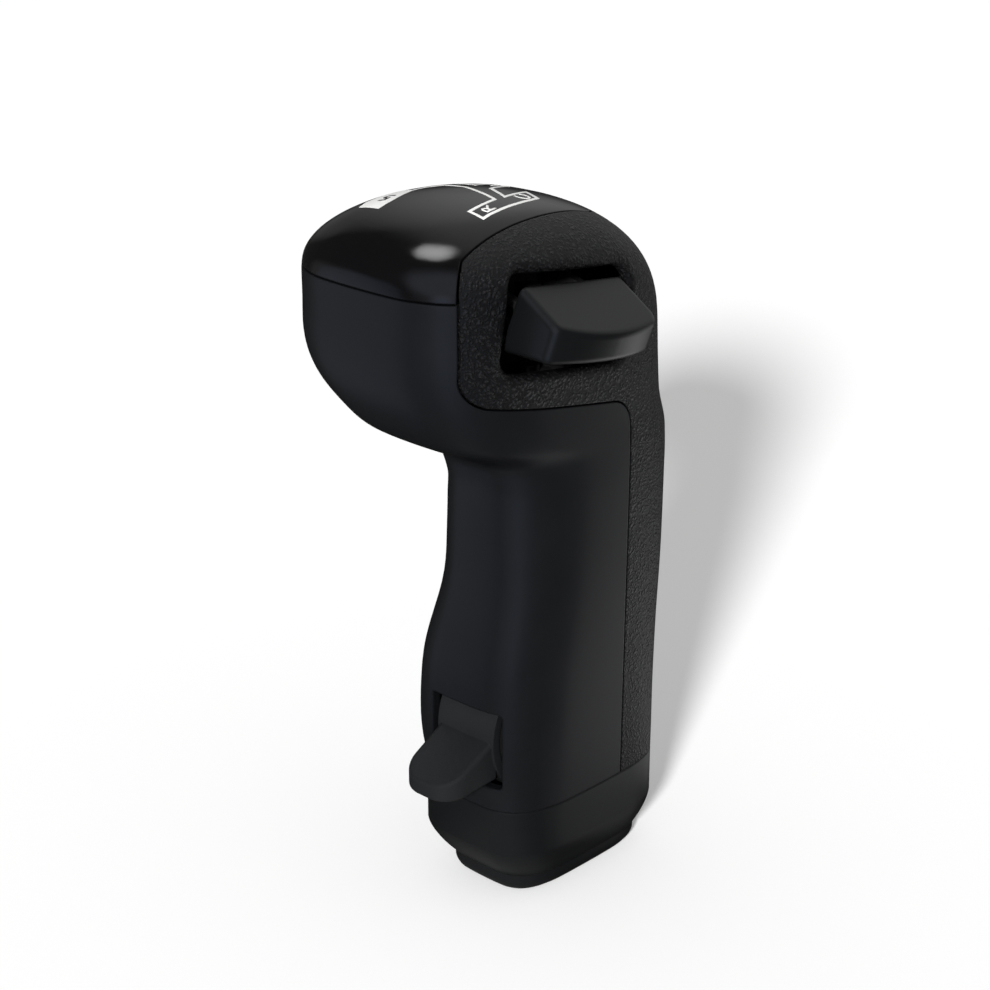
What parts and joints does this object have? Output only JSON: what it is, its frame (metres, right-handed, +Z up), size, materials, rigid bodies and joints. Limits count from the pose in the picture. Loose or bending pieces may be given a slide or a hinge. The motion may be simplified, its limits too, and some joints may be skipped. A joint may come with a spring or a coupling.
{
  "type": "gear shift knob with usb socket",
  "caption": "Truck-style gear knob for a simulator shifter: domed cap with a gate pattern, a thumb paddle at the side, a finger toggle below and a usb socket in the foot.",
  "frame": {"origin": "on the shift lever's axis, at the mouth of the sleeve that it goes into, level with the underside of the foot", "axes": "+Z up along the lever to the cap; -Y is the front with the finger toggle; +X the side with the thumb paddle"},
  "size_m": [0.0613, 0.0636, 0.1357],
  "materials": {
    "gloss_black": "polished, slightly domed, with fine lint-free gloss",
    "satin_black": "smooth satin moulding",
    "grained_black": "soft-touch, leather-like grain",
    "collar_black": "satin, a little darker than the shells",
    "toggle_black": "finely spark-eroded",
    "inner_black": "moulded nylon",
    "switch_white": "moulded acetal",
    "steel": "turned and zinc plated",
    "board_green": "lacquered circuit board"
  },
  "bodies": {
    "housing": {"back_shell": "grained_black", "base_collar": "collar_black", "board_connector": "switch_white", "board_screw_back_left": "steel", "board_screw_back_right": "steel", "board_screw_front_left": "steel", "board_screw_front_right": "steel", "cap_screw_front": "steel", "cap_screw_left": "steel", "cap_screw_right": "steel", "chassis": "inner_black", "cradle_screw_back": "steel", "cradle_screw_front": "steel", "foot_plate": "collar_black", "foot_screw_back_left": "steel", "foot_screw_back_right": "steel", "foot_screw_front_left": "steel", "foot_screw_front_right": "steel", "front_shell": "satin_black", "grub_screw_back": "steel", "grub_screw_left": "steel", "main_board": "board_green", "microcontroller": "inner_black", "range_pin": "steel", "range_switch_case": "steel", "shaft_sleeve": "steel", "shell_screw_lower": "steel", "shell_screw_upper": "steel", "splitter_cradle": "inner_black", "splitter_pin": "steel", "splitter_switch_case": "steel", "top_cap": "gloss_black", "usb_board": "board_green", "usb_socket": "steel", "usb_tongue": "inner_black"},
    "splitter_rocker": {"splitter_paddle": "satin_black", "splitter_carrier": "inner_black"},
    "splitter_slider": {"splitter_switch_slider": "switch_white"},
    "range_rocker": {"range_toggle": "toggle_black", "range_carrier": "inner_black"},
    "range_slider": {"range_switch_slider": "switch_white"}
  },
  "joints": [
    {"name": "splitter_rock", "type": "hinge", "parent": "housing", "child": "splitter_rocker", "pos_m": [0.0108, -0.0135, 0.1182], "axis": [0, -0.9914, 0.1305], "range_deg": [0, 18]},
    {"name": "splitter_slide", "type": "slide", "parent": "housing", "child": "splitter_slider", "axis": [0, -0.1305, -0.9914], "range_m": [0, 0.00189]},
    {"name": "range_rock", "type": "hinge", "parent": "housing", "child": "range_rocker", "pos_m": [0.0006, -0.0125, 0.034], "axis": [-1, 0, 0], "range_deg": [0, 16]},
    {"name": "range_slide", "type": "slide", "parent": "housing", "child": "range_slider", "axis": [0, 1, 0], "range_m": [0, 0.00168]}
  ],
  "couplings": [
    {"joint": "splitter_slide", "follows": "splitter_rock", "m_per_rad": 0.006},
    {"joint": "range_slide", "follows": "range_rock", "m_per_rad": 0.006}
  ]
}
